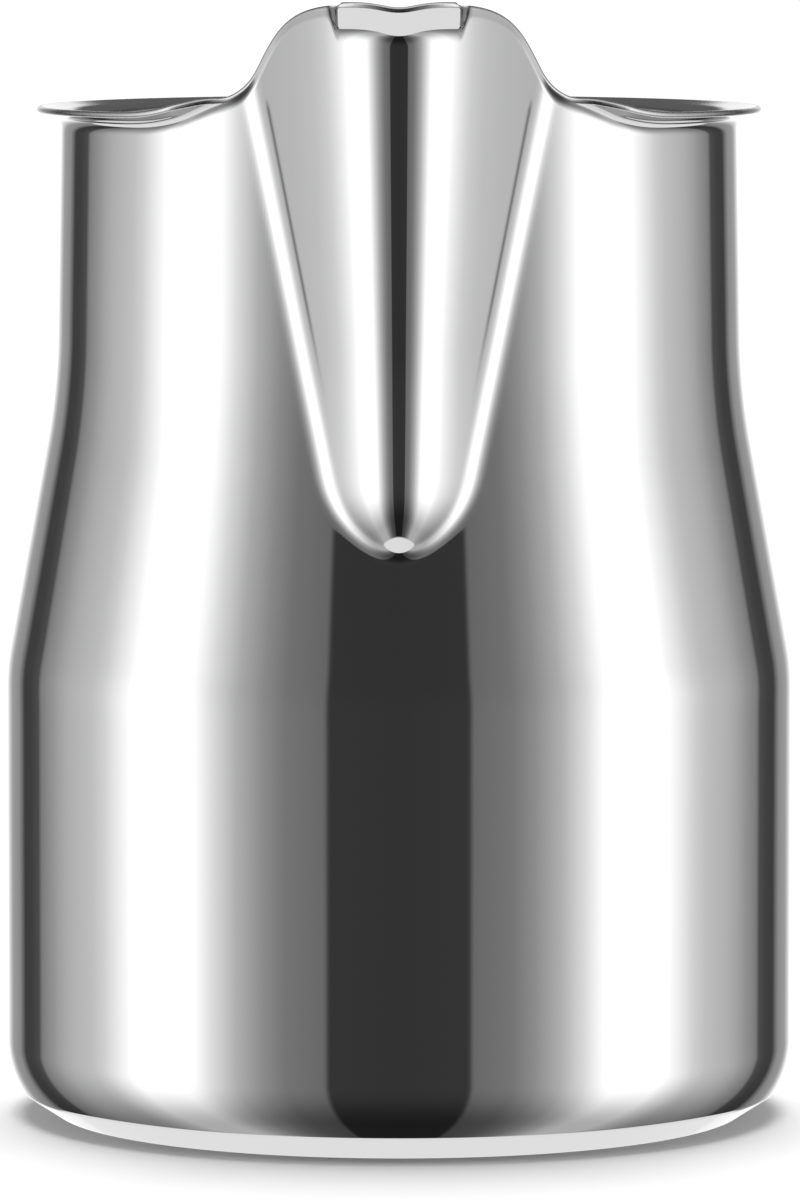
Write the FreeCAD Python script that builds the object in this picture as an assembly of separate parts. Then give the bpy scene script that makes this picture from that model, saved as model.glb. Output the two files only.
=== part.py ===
"""Melting and pouring pot of polished sheet steel, with a pressed spout and a strap handle.

Millimetres, +Z up.  The origin is the centre of the round base, on the plane the pot stands on.
The spout points along -Y and the handle is on the +Y side.  One sheet-metal body, one strap
handle, and the plug welds that hold the handle's two feet to the body.
"""

import FreeCAD, Part
import math
import os

from FreeCAD import Vector

os.makedirs("parts", exist_ok=True)

# ---------------------------------------------------------------- driving dimensions

BELLY_R = 52.0            # outer radius of the cylindrical belly
NECK_R = 44.65            # outer radius at the top of the neck, just under the rim
RIM_Z = 132.85            # height of the outer skin's end at the rim, away from the spout
SHEET = 0.85              # thickness of the body's sheet

# base: a narrow flat ring, a short cone round it, and a rounded corner up to the belly
BASE_FLAT_R = 45.0        # outer radius of the flat ring that the pot stands on
BASE_CONE = 4.967         # length of the cone's straight run
BASE_BENDS = ((1.2, 33.0), (1.2, 60.0), (13.4, 90.0))   # bend radii, and the climb after each in degrees
RECESS_R = 36.5           # radius of the raised middle of the bottom
RECESS_RAMP = 2.0         # width of the step between the ring and the raised middle
RECESS_H = 0.8            # how far the middle is raised

# profile of the wall, from belly to neck
CONE_TILT = math.radians(10.4)
CONE_FOOT_Z = 59.4        # where the cone's line meets the belly's line
SHOULDER_R = 30.0         # rounding between belly and cone
NECK_TILT = math.radians(1.0)
NECK_TOP_Z = 130.0        # height at which NECK_R is measured
NECK_ROUND_R = 89.0       # rounding between cone and neck

# spout: a V in plan, with a rounded nose
SPOUT_FOOT_Z = 77.4       # height where the nose leaves the wall
SPOUT_FOOT_H = 11.0       # height over which the nose swells out to its full line
SPOUT_FOOT_POWER = 2.6    # how quickly it does so
SPOUT_REACH = math.radians(60.0)   # the spout's shape ends well inside this angle from the nose
NOSE_OUT = 4.9           # how far the nose's straight line stands out at SPOUT_FOOT_Z
NOSE_SLOPE = 0.150        # outward lean of the nose's line
V_SLOPE = 1.36            # how steeply the V's flanks run back, at SPOUT_FOOT_Z
V_SLOPE_GROWTH = 0.0035   # the same, added for each millimetre of height
NOSE_C = 4.8              # roundness of the nose at SPOUT_FOOT_Z
NOSE_C_GROWTH = 0.080     # the same, added for each millimetre of height
FLANK_BLEND = 1.5         # width of the hollow between flank and wall at SPOUT_FOOT_Z
FLANK_BLEND_DROP = 0.008  # the same, taken off for each millimetre of height

# rim line: level, with a rise over the spout and a slight swell on each side of it
LIP_RISE = 15.0
LIP_RISE_AT = 21.7        # degrees from the nose where the edge is half way up
LIP_RISE_W = 3.2
LIP_DIP = 0.66            # the lip's middle is this much lower than its two shoulders
LIP_DIP_W = 3.0
RIM_SWELL = 1.53
RIM_SWELL_AT = 32.3       # degrees from the nose
RIM_SWELL_W = 8.5

# roll of the sheet's edge: how far out it goes, how much height it takes, and its bend radius
ROLL_RIM = (3.2, 2.6, 2.0)
ROLL_FLANK = (0.6, 1.6, 2.0)
ROLL_LIP = (3.4, 4.6, 3.0)
LIP_ENDS = (7.4, 10.6)    # degrees from the nose over which the lip's roll fades
LIP_AHEAD = (12.0, 24.0)  # degrees over which the roll turns from straight ahead to square to the wall
LIP_BOW = 0.045           # how fast the lip's edge falls back to the sides
RIM_STARTS = (29.0, 39.0)

# handle strap: section
STRAP = 1.2               # thickness
STRAP_FLAT = 6.5          # half width of the flat middle
STRAP_HALF = 10.7         # half of the developed width, rolled edges included
STRAP_EDGE_TURN = math.radians(82.0)   # how far the edges are rolled in along the grip
STRAP_EDGE_ROUND = 0.45   # how far an edge is rounded out, in strap thicknesses
SECTION_STEPS = 60
SECTION_PICKS = (0, 12, 24, 35, 42, 48, 54, 60)   # steps that become points of the section

# handle strap: path and feet
STRAP_GAP = 0.1           # fitting gap between a foot and the wall
LOWER_FOOT_Z = 14.0       # height of the lower foot's end
LOWER_FOOT_TOP_Z = 33.0   # height where the strap leaves the wall
UPPER_FOOT_Z = 107.0      # height of the upper foot's end
HANDLE_BACK_Y = 86.0
HANDLE_BACK_Z = 66.0      # height where the slanting run meets the grip
HANDLE_BACK_LEAN = 2.5    # how much further in the top of the grip is
HANDLE_TOP_Z = 126.2
HANDLE_BENDS = (11.0, 32.0, 17.0, 4.5)   # bend radii, from the lower foot to the upper
PATH_STEP = 1.6
FOOT_END_WIDTH = 0.55     # width of a foot's very end, as a share of the strap's
FOOT_END_ROUND = 6.0      # length over which a foot's end is rounded
EDGES_ROLLED = (20.0, 48.0)      # from each end, where the rolled edges start and are complete
LOWER_FOOT_BOW = (17.0, 30.0)    # from the lower end, where the strap stops following the belly
UPPER_FOOT_BOW = (16.0, 24.0)    # from the upper end, where it stops following the neck

# plug welds
WELD_R = 2.3
WELD_X = 5.2              # distance of each weld from the handle's middle
WELD_UP = 7.5             # distance of the welds from their foot's end
UPPER_WELD_Z = UPPER_FOOT_Z + WELD_UP
LOWER_WELD_Z = LOWER_FOOT_Z + WELD_UP
WELD_PROUD = 0.15
STAND_IN_REACH = 8.0      # the wall's stand-in reaches this far above and below the welds

# fineness of the surface grids
COLUMNS = 112
SPOUT_DENSITY = 0.72      # how much closer the columns stand at the spout than elsewhere
CORNER_ROWS = 24
LOW_ROWS = 16
FOOT_ROWS = 14
FOOT_BAND = (70.0, 86.0)  # heights between which the rows stand closer, round the spout's foot
HIGH_ROWS = 20
ROLL_ROWS = 10
TURN_STEP = 0.004         # radians, for slopes round the wall
LEAN_STEP = 0.5           # for slopes up the wall
SEW_TOLERANCE = 0.01


# ---------------------------------------------------------------- small helpers

def smooth_step(low, high, x):
    t = min(1.0, max(0.0, (x - low) / (high - low)))
    return t * t * (3.0 - 2.0 * t)


def mix_rows(a, b, t):
    return [x + (y - x) * t for x, y in zip(a, b)]


def smooth_max(a, b, width):
    h = max(0.0, 1.0 - abs(a - b) / width)
    return max(a, b) + h * h * width / 4.0


# ---------------------------------------------------------------- the wall as a formula

def round_radius(z):
    """Outer radius of the wall at height z, without the spout: belly, cone and neck."""
    cone = BELLY_R - (z - CONE_FOOT_Z) * math.tan(CONE_TILT)
    neck = NECK_R + (NECK_TOP_Z - z) * math.tan(NECK_TILT)
    shoulder_reach = SHOULDER_R * math.tan(CONE_TILT / 2.0)
    neck_turn = CONE_TILT - NECK_TILT
    neck_reach = NECK_ROUND_R * math.tan(neck_turn / 2.0)
    meet = CONE_FOOT_Z + (BELLY_R - NECK_R - (NECK_TOP_Z - CONE_FOOT_Z) * math.tan(NECK_TILT)) / (
        math.tan(CONE_TILT) - math.tan(NECK_TILT))
    if z < CONE_FOOT_Z - shoulder_reach:
        return BELLY_R
    if z < CONE_FOOT_Z + shoulder_reach * math.cos(CONE_TILT):
        run = z - (CONE_FOOT_Z - shoulder_reach)
        return BELLY_R - SHOULDER_R + math.sqrt(SHOULDER_R ** 2 - run ** 2)
    if z < meet - neck_reach * math.cos(CONE_TILT):
        return cone
    end = meet + neck_reach * math.cos(NECK_TILT)
    if z < end:
        centre_z = end + NECK_ROUND_R * math.sin(NECK_TILT)
        centre_r = NECK_R + (NECK_TOP_Z - end) * math.tan(NECK_TILT) + NECK_ROUND_R * math.cos(NECK_TILT)
        return centre_r - math.sqrt(NECK_ROUND_R ** 2 - (centre_z - z) ** 2)
    return neck


def wall_radius(angle, z):
    """Distance of the wall from the axis, angle in radians from the nose."""
    plain = round_radius(z)
    above = z - SPOUT_FOOT_Z
    if abs(angle) > SPOUT_REACH or above < -SPOUT_FOOT_H:
        return plain
    blend = FLANK_BLEND - FLANK_BLEND_DROP * above
    swell = 1.0 - max(0.0, 1.0 - above / SPOUT_FOOT_H) ** SPOUT_FOOT_POWER
    nose = plain + (NOSE_OUT + NOSE_SLOPE * above) * swell
    if nose < plain - 2.0 * blend:
        return plain
    slope = V_SLOPE + V_SLOPE_GROWTH * above
    c = NOSE_C + NOSE_C_GROWTH * above
    a = nose + slope * c
    q = math.cos(angle) ** 2 - (slope * math.sin(angle)) ** 2
    ends = a * a - (slope * c) ** 2
    v = ends / (a * math.cos(angle) + math.sqrt((a * math.cos(angle)) ** 2 - q * ends))
    return smooth_max(plain, v, blend)


def wall_point(angle, z):
    r = wall_radius(angle, z)
    return Vector(r * math.sin(angle), -r * math.cos(angle), z)


def plan_normal(angle, z):
    """Level direction square to the wall, pointing out."""
    along = wall_point(angle + TURN_STEP, z) - wall_point(angle - TURN_STEP, z)
    return Vector(along.y, -along.x, 0.0).normalize()


def edge_height(angle):
    degrees = abs(math.degrees(angle))
    rise = LIP_RISE / (1.0 + math.exp((degrees - LIP_RISE_AT) / LIP_RISE_W))
    swell = RIM_SWELL * math.exp(-((degrees - RIM_SWELL_AT) / RIM_SWELL_W) ** 2)
    return RIM_Z + rise + swell - LIP_DIP * math.exp(-(degrees / LIP_DIP_W) ** 2)


def lip_share(angle):
    return 1.0 - smooth_step(*LIP_ENDS, abs(math.degrees(angle)))


def edge_roll(angle):
    """Reach, height and bend radius of the rolled edge."""
    roll = mix_rows(ROLL_FLANK, ROLL_LIP, lip_share(angle))
    return mix_rows(roll, ROLL_RIM, smooth_step(*RIM_STARTS, abs(math.degrees(angle))))


def paced(length, steps, first, last):
    """Distances along a stretch, one per step, with the spacing going smoothly from first to last."""
    a = first * steps / length
    b = last * steps / length
    places = []
    for i in range(steps):
        t = i / steps
        places.append(length * t * (a + t * (3.0 - 2.0 * a - b + t * (a + b - 2.0))))
    return places


def corner_profile(steps):
    """Radius and height at even steps up the base corner, and the length of a step."""
    runs = []
    heading = 0.0
    for radius, climb in BASE_BENDS:
        after = math.radians(climb)
        runs.append((radius, heading, after, radius * (after - heading)))
        if len(runs) == 1:
            runs.append((0.0, after, after, BASE_CONE))
        heading = after
    step = sum(run[3] for run in runs) / steps
    points = []
    for i in range(steps + 1):
        left = step * i
        r = BASE_FLAT_R
        z = 0.0
        for radius, start, end, length in runs:
            done = min(left, length)
            left -= done
            if radius > 0.0:
                r += radius * (math.sin(start + done / radius) - math.sin(start))
                z += radius * (math.cos(start) - math.cos(start + done / radius))
            else:
                r += done * math.cos(start)
                z += done * math.sin(start)
        points.append((r, z))
    return points, step


def roll_start(angle, roll_z):
    """Level direction in which the edge rolls out, and the wall's tilt towards it."""
    radial = Vector(math.sin(angle), -math.cos(angle), 0.0)
    normal = plan_normal(angle, roll_z)
    ahead = 1.0 - smooth_step(*LIP_AHEAD, abs(math.degrees(angle)))
    out_way = (normal + (Vector(0, -1, 0) - normal) * ahead).normalize()
    rise = wall_radius(angle, roll_z + LEAN_STEP) - wall_radius(angle, roll_z - LEAN_STEP)
    lean = rise / (2.0 * LEAN_STEP) * normal.dot(radial) / normal.dot(out_way)
    return out_way, math.atan(lean)


def wall_column(angle):
    """Points up the wall at one angle: base corner, wall, then the rolled edge."""
    reach, height, bend_r = edge_roll(angle)
    roll_z = edge_height(angle) - height
    out_way, tilt_start = roll_start(angle, roll_z)
    start = wall_point(angle, roll_z)
    nose_z = edge_height(0.0) - edge_roll(0.0)[1]
    behind = start.y - wall_point(0.0, nose_z).y
    reach += lip_share(angle) * (behind - LIP_BOW * start.x ** 2)
    # the bend and the straight stretch after it that end at this reach and height
    a = reach - bend_r * math.cos(tilt_start)
    b = height + bend_r * math.sin(tilt_start)
    straight = math.sqrt(max(a * a + b * b - bend_r * bend_r, 0.0))
    bend = bend_r * (math.atan2(a, b) + math.atan2(bend_r, straight) - tilt_start)
    roll_step = (bend + straight) / ROLL_ROWS

    radial = Vector(math.sin(angle), -math.cos(angle), 0.0)
    foot_low, foot_high = FOOT_BAND
    foot_step = (foot_high - foot_low) / FOOT_ROWS
    corner, corner_step = corner_profile(CORNER_ROWS)
    corner_top = corner[-1][1]
    low = paced(foot_low - corner_top, LOW_ROWS, corner_step, foot_step)
    high = paced(roll_z - foot_high, HIGH_ROWS, foot_step, roll_step)
    column = [radial * r + Vector(0, 0, z) for r, z in corner[:-1]]
    column += [wall_point(angle, corner_top + z) for z in low]
    column += [wall_point(angle, foot_low + foot_step * i) for i in range(FOOT_ROWS)]
    column += [wall_point(angle, foot_high + z) for z in high]

    for i in range(ROLL_ROWS + 1):
        bent = min(bend, roll_step * i)
        rest = roll_step * i - bent
        tilt = tilt_start + bent / bend_r
        out = bend_r * (math.cos(tilt_start) - math.cos(tilt)) + rest * math.sin(tilt)
        up = bend_r * (math.sin(tilt) - math.sin(tilt_start)) + rest * math.cos(tilt)
        column.append(start + out_way * out + Vector(0, 0, up))
    return column


# ---------------------------------------------------------------- surfaces from grids

def pull_poles(grid, rounds=8):
    """Poles whose uniform cubic surface passes through the grid, closed along each row."""
    poles = [list(row) for row in grid]
    last = len(grid) - 1
    count = len(grid[0])
    for _ in range(rounds):
        across = [[(row[i - 1] + row[i] * 4.0 + row[(i + 1) % count]) * (1.0 / 6.0) for i in range(count)]
                  for row in poles]
        for j in range(last + 1):
            for i in range(count):
                reached = across[j][i]
                if 2 <= j <= last - 2:
                    reached = (across[j - 1][i] + reached * 4.0 + across[j + 1][i]) * (1.0 / 6.0)
                poles[j][i] = poles[j][i] + (grid[j][i] - reached)
    return poles


def closed_surface(grid):
    """Cubic surface through rows of points, each row a closed loop."""
    poles = pull_poles(grid)
    rows = len(poles)
    count = len(poles[0])
    surface = Part.BSplineSurface()
    by_u = [[poles[j][i - 1] for j in range(rows)] for i in range(count)]
    surface.buildFromPolesMultsKnots(
        by_u,
        [1] * (count + 1),
        [4] + [1] * (rows - 4) + [4],
        [float(i) for i in range(count + 1)],
        [float(j) for j in range(rows - 2)],
        True, False, 3, 3)
    return surface


def sewn_solid(faces):
    shell = Part.Compound(faces)
    shell.sewShape(SEW_TOLERANCE)
    found = shell.Shells
    if len(found) != 1:
        raise RuntimeError("the faces did not join into one shell")
    solid = Part.Solid(found[0])
    if solid.Volume < 0:
        solid.reverse()
    return solid


# ---------------------------------------------------------------- body

def column_angles():
    """Angles of the grid's columns, starting at the back and closer together at the spout."""
    angles = []
    for i in range(COLUMNS):
        t = -math.pi + 2.0 * math.pi * i / COLUMNS
        angles.append(t - SPOUT_DENSITY * math.sin(t))
    return angles


def slope(before, here, after):
    """Direction of a smooth curve through three points, at the middle one."""
    back = here - before
    ahead = after - here
    return back * (ahead.Length / back.Length) + ahead * (back.Length / ahead.Length)


def skin_rows():
    """Rows of points up the outer skin, and the matching rows of the inner skin."""
    columns = [wall_column(a) for a in column_angles()]
    outer = [[column[j] for column in columns] for j in range(len(columns[0]))]
    inner = [[p + Vector(0, 0, SHEET) for p in outer[0]]]
    top = len(outer) - 1
    for j in range(1, top + 1):
        row = outer[j]
        line = []
        for i in range(COLUMNS):
            across = slope(row[i - 1], row[i], row[(i + 1) % COLUMNS])
            up = row[i] - outer[j - 1][i]
            if j < top:
                up = slope(outer[j - 1][i], row[i], outer[j + 1][i])
            line.append(row[i] - across.cross(up).normalize() * SHEET)
        inner.append(line)
    return outer, inner


def level_ring(outer, inner):
    """Flat face between two loops at one height."""
    return Part.makeFace([Part.Wire(outer), Part.Wire(inner)], "Part::FaceMakerBullseye")


def bottom_faces(loop, level):
    """Flat ring inside the given loop, step and raised middle, all on one side of the sheet."""
    ring_in = RECESS_R + RECESS_RAMP
    up = Vector(0, 0, 1)
    step = Part.makeLine(Vector(0, ring_in, level), Vector(0, RECESS_R, level + RECESS_H))
    middle = Part.makeCircle(RECESS_R, Vector(0, 0, level + RECESS_H), up)
    ring = level_ring(loop, Part.makeCircle(ring_in, Vector(0, 0, level), up))
    return [ring, step.revolve(Vector(0, 0, 0), up, 360.0).Faces[0], Part.Face(Part.Wire(middle))]


def end_loops(wall):
    """The closed edges at the bottom and the top of a wall."""
    loops = [edge for edge in wall.Edges if edge.isClosed()]
    return sorted(loops, key=lambda edge: edge.BoundBox.ZMax)


def make_body():
    outer, inner = [closed_surface(rows).toShape() for rows in skin_rows()]
    outer_low, outer_top = end_loops(outer)
    inner_low, inner_top = end_loops(inner)
    cut_edge = Part.makeRuledSurface(outer_top, inner_top)
    faces = [outer, inner, cut_edge] + bottom_faces(outer_low, 0.0) + bottom_faces(inner_low, SHEET)
    return sewn_solid(faces)


# ---------------------------------------------------------------- handle

def rounded_path(corners, radii, step):
    """Points along straight runs joined by arcs, with the direction of travel at each."""
    path = []
    here = corners[0]
    for k in range(1, len(corners)):
        corner = corners[k]
        into = (corner - corners[k - 1]).normalize()
        if k == len(corners) - 1:
            path += straight_run(here, corner, into, step)
            path.append((corner, into))
            break
        out = (corners[k + 1] - corner).normalize()
        turn = into.getAngle(out)
        reach = radii[k - 1] * math.tan(turn / 2.0)
        start = corner - into * reach
        path += straight_run(here, start, into, step)
        side = 1.0 if into.cross(out).x > 0 else -1.0
        count = max(3, int(round(radii[k - 1] * turn / step)))
        for i in range(count):
            angle = side * turn * i / count
            heading = turned(into, angle)
            square = turned(into, side * math.pi / 2.0)
            centre = start + square * radii[k - 1]
            path.append((centre - turned(square, angle) * radii[k - 1], heading))
        here = corner + out * reach
    return path


def straight_run(a, b, heading, step):
    count = max(2, int(round((b - a).Length / step)))
    return [(a + (b - a) * (i / count), heading) for i in range(count)]


def turned(v, angle):
    """Vector turned about the X axis."""
    c = math.cos(angle)
    s = math.sin(angle)
    return Vector(v.x, v.y * c - v.z * s, v.y * s + v.z * c)


def strap_section(half, bow, turn):
    """Middle line of the strap's section: points and headings from one edge to the other."""
    flat = STRAP_FLAT / STRAP_HALF * half
    da = half / SECTION_STEPS
    x = 0.0
    n = 0.0
    right = [(0.0, 0.0, 0.0)]
    for i in range(SECTION_STEPS):
        a = (i + 0.5) * da
        heading = a * bow + turn * smooth_step(flat, half, a)
        x += math.cos(heading) * da
        n += math.sin(heading) * da
        right.append((x, n, heading))
    picks = [right[i] for i in SECTION_PICKS]
    left = [(-px, pn, -ph) for px, pn, ph in picks[:0:-1]]
    return left + picks


def strap_loop(place, heading, half, bow, turn):
    """Closed loop of points round the strap at one place of its path."""
    inward = turned(heading, math.pi / 2.0)
    cross = Vector(1, 0, 0)
    section = strap_section(half, bow, turn)
    rows = []
    for x, n, h in section:
        middle = place + cross * x + inward * n
        square = inward * math.cos(h) - cross * math.sin(h)
        along = cross * math.cos(h) + inward * math.sin(h)
        rows.append((middle, square, along))
    loop = [m + s * (STRAP / 2.0) for m, s, a in rows]
    end, square, along = rows[-1]
    loop.append(end + along * (STRAP * STRAP_EDGE_ROUND))
    loop += [m - s * (STRAP / 2.0) for m, s, a in rows[::-1]]
    start, square, along = rows[0]
    loop.append(start - along * (STRAP * STRAP_EDGE_ROUND))
    return loop


def handle_path():
    """Middle of the strap from the lower foot's end, round the grip, to the upper foot's end."""
    stand_off = STRAP_GAP + STRAP / 2.0
    low_y = BELLY_R + stand_off
    end_y = round_radius(UPPER_FOOT_Z) + stand_off
    neck_y = end_y - (HANDLE_TOP_Z - UPPER_FOOT_Z) * math.tan(NECK_TILT)
    corners = [
        Vector(0, low_y, LOWER_FOOT_Z),
        Vector(0, low_y, LOWER_FOOT_TOP_Z),
        Vector(0, HANDLE_BACK_Y, HANDLE_BACK_Z),
        Vector(0, HANDLE_BACK_Y - HANDLE_BACK_LEAN, HANDLE_TOP_Z),
        Vector(0, neck_y, HANDLE_TOP_Z),
        Vector(0, end_y, UPPER_FOOT_Z),
    ]
    return rounded_path(corners, HANDLE_BENDS, PATH_STEP)


def make_handle():
    path = handle_path()
    lengths = [0.0]
    for (a, _), (b, _) in zip(path, path[1:]):
        lengths.append(lengths[-1] + (b - a).Length)
    total = lengths[-1]
    loops = []
    for (place, heading), s in zip(path, lengths):
        from_end = min(s, total - s)
        rounding = math.sqrt(1.0 - max(0.0, 1.0 - from_end / FOOT_END_ROUND) ** 2)
        half = STRAP_HALF * (FOOT_END_WIDTH + (1.0 - FOOT_END_WIDTH) * rounding)
        turn = STRAP_EDGE_TURN * smooth_step(*EDGES_ROLLED, from_end)
        low_bow = (1.0 - smooth_step(*LOWER_FOOT_BOW, s)) / path[0][0].y
        high_bow = (1.0 - smooth_step(*UPPER_FOOT_BOW, total - s)) / path[-1][0].y
        loops.append(strap_loop(place, heading, half, low_bow - high_bow, turn))
    wall = closed_surface(loops).toShape()
    caps = [Part.Face(Part.Wire(edge)) for edge in wall.Edges if edge.isClosed()]
    return sewn_solid([wall] + caps)


# ---------------------------------------------------------------- welds

def wall_stand_in(height):
    """Plain solid with the same outer face as the body near this height, away from the spout."""
    low_r = round_radius(height - STAND_IN_REACH)
    high_r = round_radius(height + STAND_IN_REACH)
    foot = Vector(0, 0, height - STAND_IN_REACH)
    if abs(low_r - high_r) < 1e-6:
        return Part.makeCylinder(low_r, 2.0 * STAND_IN_REACH, foot)
    return Part.makeCone(low_r, high_r, 2.0 * STAND_IN_REACH, foot)


def foot_welds(height):
    """Round plugs through a foot, from the wall's outer face to just proud of the foot."""
    wall_r = round_radius(height)
    start = wall_r - SHEET
    wall = wall_stand_in(height)
    plugs = []
    for x in (-WELD_X, WELD_X):
        end = math.sqrt((wall_r + STRAP_GAP + STRAP) ** 2 - x ** 2) + WELD_PROUD
        plug = Part.makeCylinder(WELD_R, end - start, Vector(x, start, height), Vector(0, 1, 0))
        rim = [edge for edge in plug.Edges if edge.isClosed() and abs(edge.BoundBox.YMax - end) < 1e-6]
        plugs.append(plug.makeChamfer(WELD_PROUD, rim).cut(wall))
    return plugs


def foot_holes(height):
    start = round_radius(height) - SHEET
    through = 4.0 * STRAP
    return [Part.makeCylinder(WELD_R, through, Vector(x, start, height), Vector(0, 1, 0))
            for x in (-WELD_X, WELD_X)]


# ---------------------------------------------------------------- all the pieces

def make_parts():
    handle = make_handle().cut(foot_holes(UPPER_WELD_Z) + foot_holes(LOWER_WELD_Z))
    return {
        "pot_body": make_body(),
        "handle": handle,
        "upper_welds": Part.makeCompound(foot_welds(UPPER_WELD_Z)),
        "lower_welds": Part.makeCompound(foot_welds(LOWER_WELD_Z)),
    }


for name, shape in make_parts().items():
    box = shape.BoundBox
    print(name, "valid", shape.isValid(), "solids", len(shape.Solids), "volume", round(shape.Volume, 1),
          "x", round(box.XMin, 2), round(box.XMax, 2), "y", round(box.YMin, 2), round(box.YMax, 2),
          "z", round(box.ZMin, 2), round(box.ZMax, 2))
    shape.exportStep("parts/" + name + ".step")
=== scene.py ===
"""Looks of the polished steel pouring pot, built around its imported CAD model.

Metres, +Z up, spout along -Y, handle on the +Y side, origin at the centre of the base.
"""

import math

import bpy
import numpy as np
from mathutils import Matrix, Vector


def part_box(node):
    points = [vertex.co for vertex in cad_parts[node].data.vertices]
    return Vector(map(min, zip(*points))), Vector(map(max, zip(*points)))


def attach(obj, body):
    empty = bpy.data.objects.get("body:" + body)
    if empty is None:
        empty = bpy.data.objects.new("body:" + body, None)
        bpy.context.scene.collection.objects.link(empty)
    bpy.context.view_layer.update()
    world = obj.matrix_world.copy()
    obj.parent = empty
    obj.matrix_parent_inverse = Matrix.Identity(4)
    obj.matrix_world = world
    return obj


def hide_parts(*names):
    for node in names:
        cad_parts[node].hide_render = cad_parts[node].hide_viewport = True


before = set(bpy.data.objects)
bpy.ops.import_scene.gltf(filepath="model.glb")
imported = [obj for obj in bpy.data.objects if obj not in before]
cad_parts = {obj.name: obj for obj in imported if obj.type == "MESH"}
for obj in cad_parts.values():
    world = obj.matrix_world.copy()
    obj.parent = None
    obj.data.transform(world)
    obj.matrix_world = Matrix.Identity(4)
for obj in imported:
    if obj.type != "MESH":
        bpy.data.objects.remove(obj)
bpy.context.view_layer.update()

MM = 0.001

# ---------------------------------------------------------------- sizes of the body

BELLY_R = 52.0 * MM       # outer radius of the cylindrical belly
NECK_R = 44.65 * MM       # outer radius at the top of the neck, just under the rim
RIM_Z = 132.85 * MM       # height of the outer skin's end at the rim, away from the spout
SHEET = 0.85 * MM         # thickness of the body's sheet

# base: a narrow flat ring, a short cone round it, and a rounded corner that ends at the belly
BASE_FLAT_R = 45.0 * MM   # outer radius of the flat ring that the pot stands on
BASE_CONE = 4.967 * MM    # length of the cone's straight run
BASE_BENDS = ((1.2 * MM, 33.0), (1.2 * MM, 60.0), (13.4 * MM, 90.0))   # bend radii, and the climb after each
RECESS_R = 36.5 * MM      # radius of the raised middle of the bottom
RECESS_RAMP = 2.0 * MM    # width of the step between the ring and the raised middle
RECESS_H = 0.8 * MM       # how far the middle is raised

# profile of the wall, from belly to neck
CONE_TILT = math.radians(10.4)
CONE_FOOT_Z = 59.4 * MM   # where the cone's line meets the belly's line
SHOULDER_R = 30.0 * MM    # rounding between belly and cone
NECK_TILT = math.radians(1.0)
NECK_TOP_Z = 130.0 * MM   # height at which NECK_R is measured
NECK_ROUND_R = 89.0 * MM  # rounding between cone and neck

# spout: a V in plan, with a rounded nose
SPOUT_FOOT_Z = 77.4 * MM  # height where the nose leaves the wall
SPOUT_FOOT_H = 11.0 * MM  # height over which the nose swells out to its full line
SPOUT_FOOT_POWER = 2.6    # how quickly it does so
SPOUT_REACH = math.radians(60.0)   # the spout's shape ends well inside this angle from the nose
NOSE_OUT = 4.9 * MM       # how far the nose's straight line stands out at SPOUT_FOOT_Z
NOSE_SLOPE = 0.150        # outward lean of the nose's line
V_SLOPE = 1.36            # how steeply the V's flanks run back, at SPOUT_FOOT_Z
V_SLOPE_GROWTH = 0.0035 / MM       # the same, added with height
NOSE_C = 4.8 * MM         # roundness of the nose at SPOUT_FOOT_Z
NOSE_C_GROWTH = 0.080     # the same, added with height
FLANK_BLEND = 1.5 * MM    # width of the hollow between flank and wall at SPOUT_FOOT_Z
FLANK_BLEND_DROP = 0.008  # the same, taken off with height

# rim line: level, with a rise over the spout and a slight swell on each side of it
LIP_RISE = 15.0 * MM
LIP_RISE_AT = 21.7        # degrees from the nose where the edge is half way up
LIP_RISE_W = 3.2
LIP_DIP = 0.66 * MM       # the lip's middle is this much lower than its two shoulders
LIP_DIP_W = 3.0
RIM_SWELL = 1.53 * MM
RIM_SWELL_AT = 32.3       # degrees from the nose
RIM_SWELL_W = 8.5

# roll of the sheet's edge: how far out it goes, how much height it takes, and its bend radius
ROLL_RIM = (3.2 * MM, 2.6 * MM, 2.0 * MM)
ROLL_FLANK = (0.6 * MM, 1.6 * MM, 2.0 * MM)
ROLL_LIP = (3.4 * MM, 4.6 * MM, 3.0 * MM)
LIP_ENDS = (7.9, 9.5)     # degrees from the nose over which the lip's roll fades
LIP_AHEAD = (12.0, 24.0)  # degrees over which the roll turns from straight ahead to square to the wall
LIP_BOW = 0.045 / MM      # how fast the lip's edge falls back to the sides
RIM_STARTS = (29.0, 39.0)          # degrees over which the rim's roll takes over from the flank's

# painted dark reflection: a fine dark line down the front of each flank, where the flank's edge mirrors a
# dark strip of the studio
LINE_SLOPE = 0.196        # how fast the two lines part with height
LINE_X_AT_FLOOR = -9.7 * MM        # where the lines would stand if they went on down to the floor
LINE_WIDTH = 0.22 * MM
LINE_FOOT = (96.0 * MM, 112.0 * MM)   # heights over which the lines fade in
LINE_TOP = (134.0 * MM, 136.0 * MM)   # heights over which they end
LINE_FRONT = (-20.0 * MM, -15.0 * MM)   # the lines are only in front of this

# ---------------------------------------------------------------- sizes of the handle

# strap: section, from its middle to one edge
STRAP = 1.2 * MM          # thickness
STRAP_FLAT = 6.5 * MM     # half width of the flat middle
STRAP_HALF = 10.7 * MM    # half of the developed width, rolled edges included
STRAP_EDGE_TURN = math.radians(82.0)   # how far the edges are rolled in along the grip
STRAP_EDGE_ROUND = 0.9    # how far an edge is rounded out, in half thicknesses

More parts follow.
